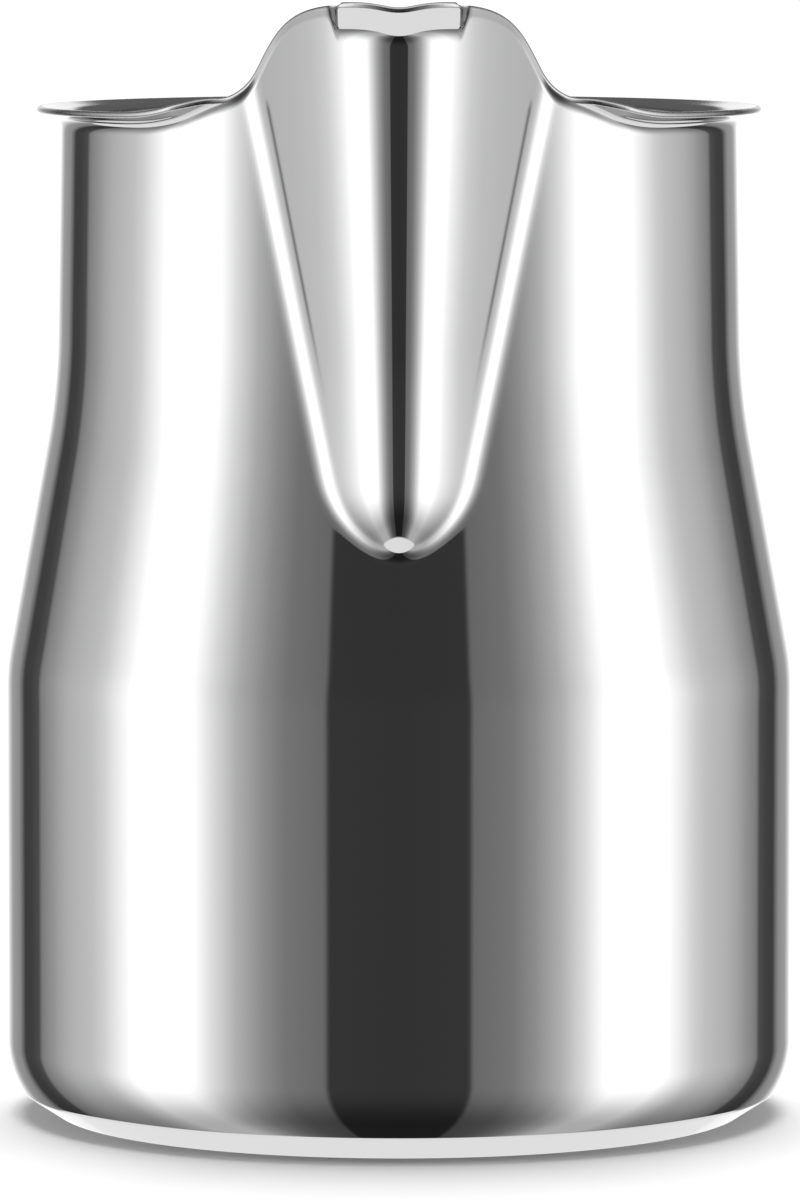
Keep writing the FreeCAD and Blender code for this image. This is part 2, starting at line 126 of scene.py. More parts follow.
# strap: path and feet
STRAP_GAP = 0.1 * MM      # fitting gap between a foot and the wall
LOWER_FOOT_Z = 14.0 * MM  # height of the lower foot's end
LOWER_FOOT_TOP_Z = 33.0 * MM       # height where the strap leaves the wall
UPPER_FOOT_Z = 107.0 * MM          # height of the upper foot's end
HANDLE_BACK_Y = 86.0 * MM
HANDLE_BACK_Z = 66.0 * MM          # height where the slanting run meets the grip
HANDLE_BACK_LEAN = 2.5 * MM        # how much further in the top of the grip is
HANDLE_TOP_Z = 126.2 * MM
HANDLE_BENDS = (11.0 * MM, 32.0 * MM, 17.0 * MM, 4.5 * MM)   # bend radii, from the lower foot up
FOOT_END_WIDTH = 0.55     # width of a foot's very end, as a share of the strap's
FOOT_END_ROUND = 6.0 * MM          # length over which a foot's end is rounded
EDGES_ROLLED = (20.0 * MM, 48.0 * MM)     # from each end, where the rolled edges start and are complete
LOWER_FOOT_BOW = (17.0 * MM, 30.0 * MM)   # from the lower end, where the strap stops following the belly
UPPER_FOOT_BOW = (16.0 * MM, 24.0 * MM)   # from the upper end, where it stops following the neck

# ---------------------------------------------------------------- fineness

COLUMNS = 384
SPOUT_DENSITY = 0.72      # how much closer the columns stand at the spout than elsewhere
CORNER_ROWS = 66
LOW_ROWS = 56
FOOT_ROWS = 56
FOOT_BAND = (70.0 * MM, 86.0 * MM)   # heights between which the rows stand closer, round the spout's foot
HIGH_ROWS = 90
ROLL_ROWS = 30
CUT_EDGE_STEP = 20        # degrees between the rows round the cut edge
RING_ROWS = (44.0 * MM, 42.5 * MM, 40.5 * MM)   # radii of the rows across the flat ring
RAMP_ROWS = 8
MIDDLE_ROWS = (0.93, 0.82, 0.68, 0.52, 0.36, 0.2, 0.08, 0.02)   # rows of the raised middle, in RECESS_R
TURN_STEP = 0.004         # radians, for slopes round the wall
LEAN_STEP = 0.5 * MM      # for slopes up the wall
PATH_STEP = 0.6 * MM      # along the strap
SECTION_STEPS = 80        # from the strap's middle to its edge
SECTION_POINTS = 21       # how many of those places become points
STRAP_EDGE_TURNS = (60.0, 30.0, 0.0, -30.0, -60.0)   # degrees, points round a long edge

# ---------------------------------------------------------------- finishes

OUTSIDE, CUT_EDGE, INSIDE, UNDERSIDE = range(4)   # the pot's material slots

# how close the marks stand, per metre
POLISH_LINES = 9000.0     # up the outside
SATIN_LINES = 5000.0      # up the inside and across its floor
SATIN_BANDS = 220.0       # the same, for broad bands
LATHE_RINGS = 3200.0      # across the underside
SCRATCHES = 7000.0        # across the handle
SCRATCH_STRETCH = 60.0    # along the handle

RIM_POLISH = (RIM_Z - 9.0 * MM, RIM_Z - 1.0 * MM)   # heights over which satin turns to polish
RIM_ROUGH = 0.07
WELD_TINT = (1.2 * MM, 2.2 * MM)   # distances from a weld's middle over which its tint starts

# relief of each finish: strength, and depth
POLISH_RELIEF = (1.0, 1.0 * MM)
RIPPLE_SHARE = 0.012      # shares of the polished relief
POLISH_LINE_SHARE = 0.0004
SATIN_RELIEF = (0.5, 0.02 * MM)
CUT_EDGE_RELIEF = (0.4, 0.02 * MM)
LATHE_RELIEF = (0.7, 0.03 * MM)
HANDLE_RELIEF = (0.35, 0.01 * MM)
WELD_RELIEF = (0.6, 0.08 * MM)

PAINTED_REFLECTION_DARK = (0.30, 0.30, 0.31, 1.0)   # colour of the painted dark reflection lines


# ================================================================ the body's wall as a formula

def smooth_step(low, high, x):
    t = np.clip((x - low) / (high - low), 0.0, 1.0)
    return t * t * (3.0 - 2.0 * t)


def round_radius(z):
    """Outer radius of the wall at heights z, without the spout: belly, cone and neck."""
    neck_line = NECK_R + (NECK_TOP_Z - z) * math.tan(NECK_TILT)
    cone_line = BELLY_R - (z - CONE_FOOT_Z) * math.tan(CONE_TILT)
    shoulder_reach = SHOULDER_R * math.tan(CONE_TILT / 2.0)
    neck_reach = NECK_ROUND_R * math.tan((CONE_TILT - NECK_TILT) / 2.0)
    drop = BELLY_R - NECK_R - (NECK_TOP_Z - CONE_FOOT_Z) * math.tan(NECK_TILT)
    meet = CONE_FOOT_Z + drop / (math.tan(CONE_TILT) - math.tan(NECK_TILT))
    run = np.clip(z - (CONE_FOOT_Z - shoulder_reach), 0.0, SHOULDER_R)
    shoulder = BELLY_R - SHOULDER_R + np.sqrt(SHOULDER_R ** 2 - run ** 2)
    end = meet + neck_reach * math.cos(NECK_TILT)
    centre_z = end + NECK_ROUND_R * math.sin(NECK_TILT)
    centre_r = NECK_R + (NECK_TOP_Z - end) * math.tan(NECK_TILT) + NECK_ROUND_R * math.cos(NECK_TILT)
    hollow = centre_r - np.sqrt(np.maximum(NECK_ROUND_R ** 2 - (centre_z - z) ** 2, 0.0))
    r = np.where(z < end, hollow, neck_line)
    r = np.where(z < meet - neck_reach * math.cos(CONE_TILT), cone_line, r)
    r = np.where(z < CONE_FOOT_Z + shoulder_reach * math.cos(CONE_TILT), shoulder, r)
    return np.where(z < CONE_FOOT_Z - shoulder_reach, BELLY_R, r)


def wall_radius(angle, z):
    """Distance of the wall from the axis, angle in radians from the spout's nose."""
    plain = round_radius(z)
    above = z - SPOUT_FOOT_Z
    blend = FLANK_BLEND - FLANK_BLEND_DROP * above
    swell = 1.0 - np.maximum(0.0, 1.0 - above / SPOUT_FOOT_H) ** SPOUT_FOOT_POWER
    nose = plain + (NOSE_OUT + NOSE_SLOPE * above) * swell
    spout = (np.abs(angle) < SPOUT_REACH) & (above > -SPOUT_FOOT_H) & (nose > plain - 2.0 * blend)
    nose = np.where(spout, nose, BELLY_R)
    turn = np.where(spout, angle, 0.0)
    above = np.where(spout, above, 0.0)
    slope = V_SLOPE + V_SLOPE_GROWTH * above
    c = NOSE_C + NOSE_C_GROWTH * above
    a = nose + slope * c
    q = np.cos(turn) ** 2 - (slope * np.sin(turn)) ** 2
    ends = a * a - (slope * c) ** 2
    v = ends / (a * np.cos(turn) + np.sqrt((a * np.cos(turn)) ** 2 - q * ends))
    h = np.maximum(0.0, 1.0 - np.abs(v - plain) / blend)
    joined = np.maximum(v, plain) + h * h * blend / 4.0
    return np.where(spout, joined, plain)


def wall_point(angle, z):
    r = wall_radius(angle, z)
    return np.stack([r * np.sin(angle), -r * np.cos(angle), z + 0.0 * angle], axis=-1)


def edge_height(angle):
    degrees = np.abs(np.degrees(angle))
    rise = LIP_RISE / (1.0 + np.exp((degrees - LIP_RISE_AT) / LIP_RISE_W))
    swell = RIM_SWELL * np.exp(-((degrees - RIM_SWELL_AT) / RIM_SWELL_W) ** 2)
    return RIM_Z + rise + swell - LIP_DIP * np.exp(-(degrees / LIP_DIP_W) ** 2)


def edge_roll(angle):
    """Reach, height and bend radius of the rolled edge at each angle, and the lip's share of it."""
    degrees = np.abs(np.degrees(angle))
    lip = 1.0 - smooth_step(*LIP_ENDS, degrees)
    rim = smooth_step(*RIM_STARTS, degrees)
    roll = []
    for at_flank, at_lip, at_rim in zip(ROLL_FLANK, ROLL_LIP, ROLL_RIM):
        value = at_flank + (at_lip - at_flank) * lip
        roll.append(value + (at_rim - value) * rim)
    return roll[0], roll[1], roll[2], lip


def column_angles():
    """Angles of the columns, starting at the back and closer together at the spout."""
    t = -math.pi + 2.0 * math.pi * np.arange(COLUMNS) / COLUMNS
    return t - SPOUT_DENSITY * np.sin(t)


def corner_profile(steps):
    """Radius and height at even steps up the base corner, and the length of a step."""
    runs = []
    heading = 0.0
    for radius, climb in BASE_BENDS:
        after = math.radians(climb)
        runs.append((radius, heading, after, radius * (after - heading)))
        if len(runs) == 1:
            runs.append((0.0, after, after, BASE_CONE))
        heading = after
    step = sum(run[3] for run in runs) / steps
    points = []
    for i in range(steps + 1):
        left = step * i
        r = BASE_FLAT_R
        z = 0.0
        for radius, start, end, length in runs:
            done = min(left, length)
            left -= done
            if radius > 0.0:
                r += radius * (math.sin(start + done / radius) - math.sin(start))
                z += radius * (math.cos(start) - math.cos(start + done / radius))
            else:
                r += done * math.cos(start)
                z += done * math.sin(start)
        points.append((r, z))
    return points, step


def paced(length, steps, first, last):
    """Distances along a stretch, one per step, with the spacing going smoothly from first to last."""
    a = first * steps / length
    b = last * steps / length
    t = np.arange(steps)[:, None] / steps
    return length * t * (a + t * (3.0 - 2.0 * a - b + t * (a + b - 2.0)))


def outer_rows(angle):
    """Rows of points up the outside: base corner, wall, then the rolled edge."""
    rows = []
    radial = np.stack([np.sin(angle), -np.cos(angle), 0.0 * angle], axis=-1)
    up = np.array([0.0, 0.0, 1.0])
    reach, height, bend_r, lip = edge_roll(angle)
    roll_z = edge_height(angle) - height
    along = wall_point(angle + TURN_STEP, roll_z) - wall_point(angle - TURN_STEP, roll_z)
    normal = np.stack([along[:, 1], -along[:, 0], 0.0 * angle], axis=-1)
    normal /= np.linalg.norm(normal, axis=-1)[:, None]
    lean = wall_radius(angle, roll_z + LEAN_STEP) - wall_radius(angle, roll_z - LEAN_STEP)
    lean /= 2.0 * LEAN_STEP
    ahead = 1.0 - smooth_step(*LIP_AHEAD, np.abs(np.degrees(angle)))
    out_way = normal + (np.array([0.0, -1.0, 0.0]) - normal) * ahead[:, None]
    out_way /= np.linalg.norm(out_way, axis=-1)[:, None]
    lean *= np.sum(normal * radial, axis=-1) / np.sum(normal * out_way, axis=-1)
    tilt_start = np.arctan(lean)

    start = wall_point(angle, roll_z)
    nose = wall_point(np.zeros(1), roll_z[np.argmin(np.abs(angle))])
    behind = start[:, 1] - nose[:, 1]
    reach = reach + lip * (behind - LIP_BOW * start[:, 0] ** 2)
    # the bend and the straight stretch after it that end at this reach and height
    a = reach - bend_r * np.cos(tilt_start)
    b = height + bend_r * np.sin(tilt_start)
    straight = np.sqrt(np.maximum(a ** 2 + b ** 2 - bend_r ** 2, 0.0))
    tilt_end = np.arctan2(a, b) + np.arctan2(bend_r, straight)
    bend = bend_r * (tilt_end - tilt_start)
    roll_step = (bend + straight - SHEET / 2.0) / ROLL_ROWS

    foot_low, foot_high = FOOT_BAND
    foot_step = (foot_high - foot_low) / FOOT_ROWS
    corner, corner_step = corner_profile(CORNER_ROWS)
    for r, z in corner[:-1]:
        rows.append(radial * r + up * z)
    corner_top = corner[-1][1]
    for z in paced(foot_low - corner_top, LOW_ROWS, corner_step, foot_step):
        rows.append(wall_point(angle, corner_top + z))
    for i in range(FOOT_ROWS):
        rows.append(wall_point(angle, foot_low + foot_step * i))
    for z in paced(roll_z - foot_high, HIGH_ROWS, foot_step, roll_step):
        rows.append(wall_point(angle, foot_high + z))
    for i in range(ROLL_ROWS + 1):
        bent = np.minimum(bend, roll_step * i)
        rest = roll_step * i - bent
        tilt = tilt_start + bent / bend_r
        out = bend_r * (np.cos(tilt_start) - np.cos(tilt)) + rest * np.sin(tilt)
        climb = bend_r * (np.sin(tilt) - np.sin(tilt_start)) + rest * np.cos(tilt)
        rows.append(start + out_way * out[:, None] + up * climb[:, None])
    return np.array(rows)


def row_normals(rows):
    across = np.roll(rows, -1, axis=1) - np.roll(rows, 1, axis=1)
    climb = np.gradient(rows, axis=0)
    normals = np.cross(across, climb)
    normals /= np.linalg.norm(normals, axis=-1)[..., None]
    normals[0] = (0.0, 0.0, -1.0)
    return normals


def bottom_rows(angle, level):
    """Rings from the base corner in to the middle of the bottom, on one side of the sheet."""
    ring_in = RECESS_R + RECESS_RAMP
    rings = [(r, level) for r in RING_ROWS + (ring_in,)]
    for i in range(1, RAMP_ROWS + 1):
        t = i / RAMP_ROWS
        rings.append((ring_in - RECESS_RAMP * t, level + RECESS_H * smooth_step(0.0, 1.0, t)))
    rings += [(RECESS_R * part, level + RECESS_H) for part in MIDDLE_ROWS]
    return [np.stack([r * np.sin(angle), -r * np.cos(angle), z + 0.0 * angle], axis=-1) for r, z in rings]


# ================================================================ meshes

def mesh_object(name, vertices, faces, slots=None):
    mesh = bpy.data.meshes.new(name)
    mesh.from_pydata([tuple(v) for v in vertices], [], faces)
    mesh.polygons.foreach_set("use_smooth", [True] * len(mesh.polygons))
    if slots is not None:
        mesh.polygons.foreach_set("material_index", slots)
    mesh.update()
    piece = bpy.data.objects.new(name, mesh)
    bpy.context.scene.collection.objects.link(piece)
    return piece


def loft_faces(rows, columns):
    """Quads between closed rows of points that follow each other in the vertex list."""
    faces = []
    for j in range(rows - 1):
        low = j * columns
        for i in range(columns):
            k = (i + 1) % columns
            faces.append((low + i, low + k, low + columns + k, low + columns + i))
    return faces


def end_faces(rows, columns):
    """The two faces that close the first and the last row."""
    return [tuple(range(columns))[::-1], tuple((rows - 1) * columns + i for i in range(columns))]


def make_pot_shell():
    angle = column_angles()
    outside = outer_rows(angle)
    normals = row_normals(outside)
    inside = outside - normals * SHEET
    top = outside[-1]
    climb = top - outside[-2]
    climb /= np.linalg.norm(climb, axis=-1)[:, None]
    middle = (top + inside[-1]) / 2.0
    edge = []
    for turn in range(CUT_EDGE_STEP, 180, CUT_EDGE_STEP):
        side = math.cos(math.radians(turn))
        ahead = math.sin(math.radians(turn))
        edge.append(middle + (normals[-1] * side + climb * ahead) * SHEET / 2.0)
    under = bottom_rows(angle, 0.0)[::-1]
    floor = bottom_rows(angle, SHEET)
    rows = np.array(under + list(outside) + edge + list(inside[::-1]) + floor)
    count = len(rows)
    faces = loft_faces(count, COLUMNS) + end_faces(count, COLUMNS)
    bands = [UNDERSIDE] * (len(under) - 1) + [OUTSIDE] * len(outside) + [CUT_EDGE] * (len(edge) + 1)
    bands += [INSIDE] * (count - 1 - len(bands))
    slots = [band for band in bands for _ in range(COLUMNS)] + [UNDERSIDE, INSIDE]
    return mesh_object("pot_shell", rows.reshape(-1, 3), faces, slots)


# ================================================================ handle

def turned(v, angle):
    """Vector turned about the X axis."""
    c = math.cos(angle)
    s = math.sin(angle)
    return np.array([v[0], v[1] * c - v[2] * s, v[1] * s + v[2] * c])


def rounded_path(corners, radii, step):
    """Points along straight runs joined by arcs, with the direction of travel at each."""
    path = []
    here = corners[0]
    for k in range(1, len(corners)):
        corner = corners[k]
        into = corner - corners[k - 1]
        into = into / np.linalg.norm(into)
        last = k == len(corners) - 1
        turn = 0.0
        if not last:
            out = corners[k + 1] - corner
            out = out / np.linalg.norm(out)
            turn = math.acos(float(np.dot(into, out)))
        reach = 0.0 if last else radii[k - 1] * math.tan(turn / 2.0)
        start = corner - into * reach
        count = max(2, int(round(np.linalg.norm(start - here) / step)))
        for i in range(count):
            path.append((here + (start - here) * i / count, into))
        if last:
            path.append((corner, into))
            break
        side = 1.0 if np.cross(into, out)[0] > 0 else -1.0
        square = turned(into, side * math.pi / 2.0)
        centre = start + square * radii[k - 1]
        count = max(3, int(round(radii[k - 1] * turn / step)))
        for i in range(count):
            angle = side * turn * i / count
            path.append((centre - turned(square, angle) * radii[k - 1], turned(into, angle)))
        here = corner + out * reach
    return path


def strap_section(half, bow, turn):
    """Middle line of the strap's section from its middle to one edge: x, depth and heading."""
    flat = STRAP_FLAT / STRAP_HALF * half
    da = half / SECTION_STEPS
    a = (np.arange(SECTION_STEPS) + 0.5) * da
    heading = a * bow + turn * smooth_step(flat, half, a)
    x = np.concatenate([[0.0], np.cumsum(np.cos(heading)) * da])
    depth = np.concatenate([[0.0], np.cumsum(np.sin(heading)) * da])
    heading = np.concatenate([[0.0], heading])
    picks = np.round(np.linspace(0, SECTION_STEPS, SECTION_POINTS)).astype(int)
    return x[picks], depth[picks], heading[picks]


def strap_edge(middle, outward, square, turns):
    """Points round one long edge of the strap."""
    points = []
    for turn in turns:
        a = math.radians(turn)
        way = outward * math.cos(a) * STRAP_EDGE_ROUND + square * math.sin(a)
        points.append(middle + way * STRAP / 2.0)
    return points


def strap_loop(place, heading, half, bow, turn):
    """Closed loop of points round the strap at one place of its path."""
    inward = turned(heading, math.pi / 2.0)
    cross = np.array([1.0, 0.0, 0.0])
    x, depth, h = strap_section(half, bow, turn)
    x = np.concatenate([-x[:0:-1], x])
    depth = np.concatenate([depth[:0:-1], depth])
    h = np.concatenate([-h[:0:-1], h])
    middle = place + np.outer(x, cross) + np.outer(depth, inward)
    square = np.outer(np.cos(h), inward) - np.outer(np.sin(h), cross)
    along = np.outer(np.cos(h), cross) + np.outer(np.sin(h), inward)
    loop = list(middle + square * STRAP / 2.0)
    loop += strap_edge(middle[-1], along[-1], square[-1], STRAP_EDGE_TURNS)
    loop += list((middle - square * STRAP / 2.0)[::-1])
    loop += strap_edge(middle[0], -along[0], square[0], STRAP_EDGE_TURNS[::-1])
    return np.array(loop)


def handle_path():
    """Middle of the strap from the lower foot's end, round the grip, to the upper foot's end."""
    stand_off = STRAP_GAP + STRAP / 2.0
    low_y = BELLY_R + stand_off
    end_y = float(round_radius(np.array(UPPER_FOOT_Z))) + stand_off
    neck_y = end_y - (HANDLE_TOP_Z - UPPER_FOOT_Z) * math.tan(NECK_TILT)
    corners = [
        np.array([0.0, low_y, LOWER_FOOT_Z]),
        np.array([0.0, low_y, LOWER_FOOT_TOP_Z]),
        np.array([0.0, HANDLE_BACK_Y, HANDLE_BACK_Z]),
        np.array([0.0, HANDLE_BACK_Y - HANDLE_BACK_LEAN, HANDLE_TOP_Z]),
        np.array([0.0, neck_y, HANDLE_TOP_Z]),
        np.array([0.0, end_y, UPPER_FOOT_Z]),
    ]
    return rounded_path(corners, HANDLE_BENDS, PATH_STEP)


def make_handle_strap():
    path = handle_path()
    places = np.array([place for place, heading in path])
    s = np.concatenate([[0.0], np.cumsum(np.linalg.norm(np.diff(places, axis=0), axis=1))])
    to_end = s[-1] - s
    near = np.minimum(s, to_end)
    rounding = np.sqrt(1.0 - np.maximum(0.0, 1.0 - near / FOOT_END_ROUND) ** 2)
    half = STRAP_HALF * (FOOT_END_WIDTH + (1.0 - FOOT_END_WIDTH) * rounding)
    turn = STRAP_EDGE_TURN * smooth_step(*EDGES_ROLLED, near)
    low_bow = (1.0 - smooth_step(*LOWER_FOOT_BOW, s)) / places[0][1]
    high_bow = (1.0 - smooth_step(*UPPER_FOOT_BOW, to_end)) / places[-1][1]
    bow = low_bow - high_bow
    loops = []
    for k, (place, heading) in enumerate(path):
        loops.append(strap_loop(place, heading, half[k], bow[k], turn[k]))
    columns = len(loops[0])
    faces = loft_faces(len(loops), columns) + end_faces(len(loops), columns)
    return mesh_object("handle_strap", np.array(loops).reshape(-1, 3), faces)


# ================================================================ materials
#
# Noise scales are per metre, except over coordinates that were already stretched, where they are 1.
# The two numbers after a scale are the noise's detail and its roughness.

class Nodes:
    """Short way to add and link shader nodes."""

    def __init__(self, tree):
        self.tree = tree
        tree.nodes.clear()

    def add(self, kind, **settings):
        node = self.tree.nodes.new("ShaderNode" + kind)
        for key, value in settings.items():
            setattr(node, key, value)
        return node

    def link(self, source, target):
        self.tree.links.new(source, target)

    def put(self, socket, source):
        if isinstance(source, bpy.types.NodeSocket):
            self.link(source, socket)
        else:
            socket.default_value = source

    def math(self, operation, a, b=0.0, c=0.0):
        node = self.add("Math", operation=operation)
        for socket, source in zip(node.inputs, (a, b, c)):
            self.put(socket, source)
        return node.outputs[0]

    def plus(self, a, b):
        return self.math("ADD", a, b)

    def times(self, a, b):
        return self.math("MULTIPLY", a, b)

    def distance(self, a, b):
        """Length of a vector whose two parts are a and b."""
        return self.math("SQRT", self.plus(self.times(a, a), self.times(b, b)))

    def bell(self, x):
        """1 where x is 0, falling off smoothly on both sides."""
        return self.math("POWER", math.e, self.times(self.times(x, x), -1.0))

    def step(self, value, low, high, to_low=0.0, to_high=1.0):
        node = self.add("MapRange", interpolation_type="SMOOTHSTEP")
        for name, source in (("Value", value), ("From Min", low), ("From Max", high),
                             ("To Min", to_low), ("To Max", to_high)):
            self.put(node.inputs[name], source)
        return node.outputs["Result"]

    def cover(self, light, share, level):
        """The light where the share is 0, and the level where it is 1."""
        kept = self.times(light, self.math("SUBTRACT", 1.0, share))
        return self.plus(kept, self.times(share, level))

    def place(self):
        return self.add("TexCoord").outputs["Object"]

    def axes(self, vector):
        """The vector's x, y and z."""
        node = self.add("SeparateXYZ")
        self.link(vector, node.inputs[0])
        return node.outputs

    def vector(self, x, y, z):
        node = self.add("CombineXYZ")
        for socket, source in zip(node.inputs, (x, y, z)):
            self.put(socket, source)
        return node.outputs[0]

    def noise(self, vector, scale, detail, roughness):
        node = self.add("TexNoise")
        self.link(vector, node.inputs["Vector"])
        node.inputs["Scale"].default_value = scale
        node.inputs["Detail"].default_value = detail
        node.inputs["Roughness"].default_value = roughness
        return node.outputs["Fac"]

    def mix_colour(self, fac, a, b):
        node = self.add("Mix", data_type="RGBA")
        self.put(node.inputs[0], fac)
        self.put(node.inputs[6], a)
        self.put(node.inputs[7], b)
        return node.outputs[2]


def new_steel(name):
    """Metal material, its nodes and its shader."""
    material = bpy.data.materials.new(name)
    material.use_nodes = True
    nodes = Nodes(material.node_tree)
    shader = nodes.add("BsdfPrincipled")
    shader.inputs["Metallic"].default_value = 1.0
    out = nodes.add("OutputMaterial")
    nodes.link(shader.outputs[0], out.inputs["Surface"])
    return material, nodes, shader


def finish_steel(nodes, shader, colour, rough, height, strength, depth):
    """Gives the steel its colour and roughness, and a relief of this strength and depth."""
    nodes.link(colour, shader.inputs["Base Color"])
    nodes.link(rough, shader.inputs["Roughness"])
    bump = nodes.add("Bump")
    bump.inputs["Strength"].default_value = strength
    bump.inputs["Distance"].default_value = depth
    nodes.link(height, bump.inputs["Height"])
    nodes.link(bump.outputs[0], shader.inputs["Normal"])


def round_coordinates(nodes, place):
    """Coordinates that follow the pot: angle round the axis, distance from it, and height."""
    x, y, z = nodes.axes(place)
    return nodes.math("ARCTAN2", x, y), nodes.distance(x, y), z


def painted_reflection_line(nodes, place):
    """Painted dark reflection line down the front of each flank, 1 on the line and 0 away from it."""
    x, y, z = nodes.axes(place)
    line = nodes.math("MULTIPLY_ADD", z, LINE_SLOPE, LINE_X_AT_FLOOR)
    away = nodes.math("DIVIDE", nodes.math("SUBTRACT", nodes.math("ABSOLUTE", x), line), LINE_WIDTH)
    span = nodes.times(nodes.step(z, *LINE_FOOT), nodes.step(z, *LINE_TOP, 1.0, 0.0))
    front = nodes.step(y, *LINE_FRONT, 1.0, 0.0)
    return nodes.times(nodes.times(nodes.bell(away), span), front)


def polished_steel():
    """Mirror-polished sheet: faint circling polish lines, soft ripple, a trace of handling, and a painted
    dark reflection line down each flank.
    """
    material, nodes, shader = new_steel("polished_steel")
    place = nodes.place()
    angle, radius, z = round_coordinates(nodes, place)
    circling = nodes.vector(nodes.times(angle, 2.0), 0.0, nodes.times(z, POLISH_LINES))
    lines = nodes.noise(circling, 1.0, 3.0, 0.65)
    smudge = nodes.noise(place, 38.0, 4.0, 0.6)
    ripple = nodes.noise(place, 26.0, 1.0, 0.4)
    tone = nodes.noise(place, 9.0, 2.0, 0.5)
    colour = nodes.mix_colour(tone, (0.775, 0.777, 0.783, 1.0), (0.805, 0.803, 0.800, 1.0))
    # painted dark reflection: darkens the colour along a line down each flank's edge
    colour = nodes.mix_colour(painted_reflection_line(nodes, place), colour, PAINTED_REFLECTION_DARK)
    rough = nodes.plus(nodes.step(smudge, 0.45, 0.75, 0.022, 0.05), nodes.times(lines, 0.012))
    height = nodes.plus(nodes.times(ripple, RIPPLE_SHARE), nodes.times(lines, POLISH_LINE_SHARE))
    finish_steel(nodes, shader, colour, rough, height, *POLISH_RELIEF)
    return material


def satin_steel():
    """Inside of the pot: satin, with fine lines running round, and polished towards the rim."""
    material, nodes, shader = new_steel("satin_steel_inside")
    angle, radius, z = round_coordinates(nodes, nodes.place())
    fine_in = nodes.times(radius, SATIN_LINES)
    fine_up = nodes.times(z, SATIN_LINES)
    lines = nodes.noise(nodes.vector(nodes.times(angle, 3.0), fine_in, fine_up), 1.0, 4.0, 0.7)
    broad = nodes.vector(angle, nodes.times(radius, SATIN_BANDS), nodes.times(z, SATIN_BANDS))
    bands = nodes.noise(broad, 1.0, 2.0, 0.5)
    colour = nodes.mix_colour(lines, (0.66, 0.66, 0.665, 1.0), (0.76, 0.757, 0.75, 1.0))
    satin = nodes.plus(nodes.step(bands, 0.3, 0.7, 0.20, 0.27), nodes.times(lines, 0.08))
    rough = nodes.cover(satin, nodes.step(z, *RIM_POLISH), RIM_ROUGH)
    finish_steel(nodes, shader, colour, rough, lines, *SATIN_RELIEF)
    return material


def cut_edge_steel():
    """The sheet's cut edge: trimmed and smoothed, a little duller than the faces."""
    material, nodes, shader = new_steel("cut_edge_steel")
    place = nodes.place()
    grain = nodes.noise(place, 2600.0, 3.0, 0.7)
    tone = nodes.noise(place, 120.0, 2.0, 0.5)
    colour = nodes.mix_colour(tone, (0.58, 0.58, 0.585, 1.0), (0.72, 0.72, 0.715, 1.0))
    rough = nodes.step(grain, 0.3, 0.7, 0.14, 0.30)
    finish_steel(nodes, shader, colour, rough, grain, *CUT_EDGE_RELIEF)
    return material


def base_steel():
    """Underside: turned rings from the lathe, with rubbed patches on the standing ring."""
    material, nodes, shader = new_steel("base_steel")
    place = nodes.place()
    angle, radius, z = round_coordinates(nodes, place)
    turned_rings = nodes.vector(nodes.times(angle, 0.6), nodes.times(radius, LATHE_RINGS), 0.0)
    rings = nodes.noise(turned_rings, 1.0, 3.0, 0.7)
    rub = nodes.noise(place, 210.0, 4.0, 0.65)
    colour = nodes.mix_colour(rings, (0.60, 0.60, 0.605, 1.0), (0.74, 0.735, 0.73, 1.0))
    rough = nodes.plus(nodes.times(rings, 0.16), nodes.step(rub, 0.4, 0.8, 0.16, 0.34))
    finish_steel(nodes, shader, colour, rough, rings, *LATHE_RELIEF)
    return material


def handle_steel():
    """Handle strap: polished along its length, with fine long scratches and softer worn patches."""
    material, nodes, shader = new_steel("handle_steel")
    place = nodes.place()
    x, y, z = nodes.axes(place)
    long_y = nodes.times(y, SCRATCH_STRETCH)
    long_z = nodes.times(z, SCRATCH_STRETCH)
    lines = nodes.noise(nodes.vector(nodes.times(x, SCRATCHES), long_y, long_z), 1.0, 3.0, 0.65)
    wear = nodes.noise(place, 60.0, 4.0, 0.6)
    colour = nodes.mix_colour(lines, (0.72, 0.72, 0.725, 1.0), (0.79, 0.785, 0.78, 1.0))
    rough = nodes.plus(nodes.step(wear, 0.4, 0.75, 0.06, 0.13), nodes.times(lines, 0.05))
    finish_steel(nodes, shader, colour, rough, lines, *HANDLE_RELIEF)
    return material


def weld_steel(name, centre_x, centre_z):
    """Plug weld: pitted middle and a straw-coloured ring where the heat ended."""
    material, nodes, shader = new_steel(name)
    place = nodes.place()
    x, y, z = nodes.axes(place)
    across = nodes.math("SUBTRACT", nodes.math("ABSOLUTE", x), centre_x)
    from_centre = nodes.distance(across, nodes.math("SUBTRACT", z, centre_z))
    pits = nodes.noise(place, 1500.0, 4.0, 0.7)
    tint = nodes.step(from_centre, *WELD_TINT)
    colour = nodes.mix_colour(tint, (0.58, 0.575, 0.57, 1.0), (0.62, 0.56, 0.47, 1.0))
    rough = nodes.step(pits, 0.3, 0.7, 0.22, 0.42)
    finish_steel(nodes, shader, colour, rough, pits, *WELD_RELIEF)
    return material


# ================================================================ pieces

def build_pot():
    pot = make_pot_shell()
    for material in (polished_steel(), cut_edge_steel(), satin_steel(), base_steel()):
        pot.data.materials.append(material)
    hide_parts("pot_body")
    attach(pot, "root")


def build_handle():
    strap = make_handle_strap()
    strap.data.materials.append(handle_steel())
    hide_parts("handle")
    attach(strap, "root")


def finish_welds():
    for name in ("upper_welds", "lower_welds"):
        low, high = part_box(name)
        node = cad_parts[name]
        weld_r = (high.z - low.z) / 2.0
        material = weld_steel(name + "_steel", high.x - weld_r, (low.z + high.z) / 2.0)
        node.data.materials.clear()
        node.data.materials.append(material)


# ================================================================ studio

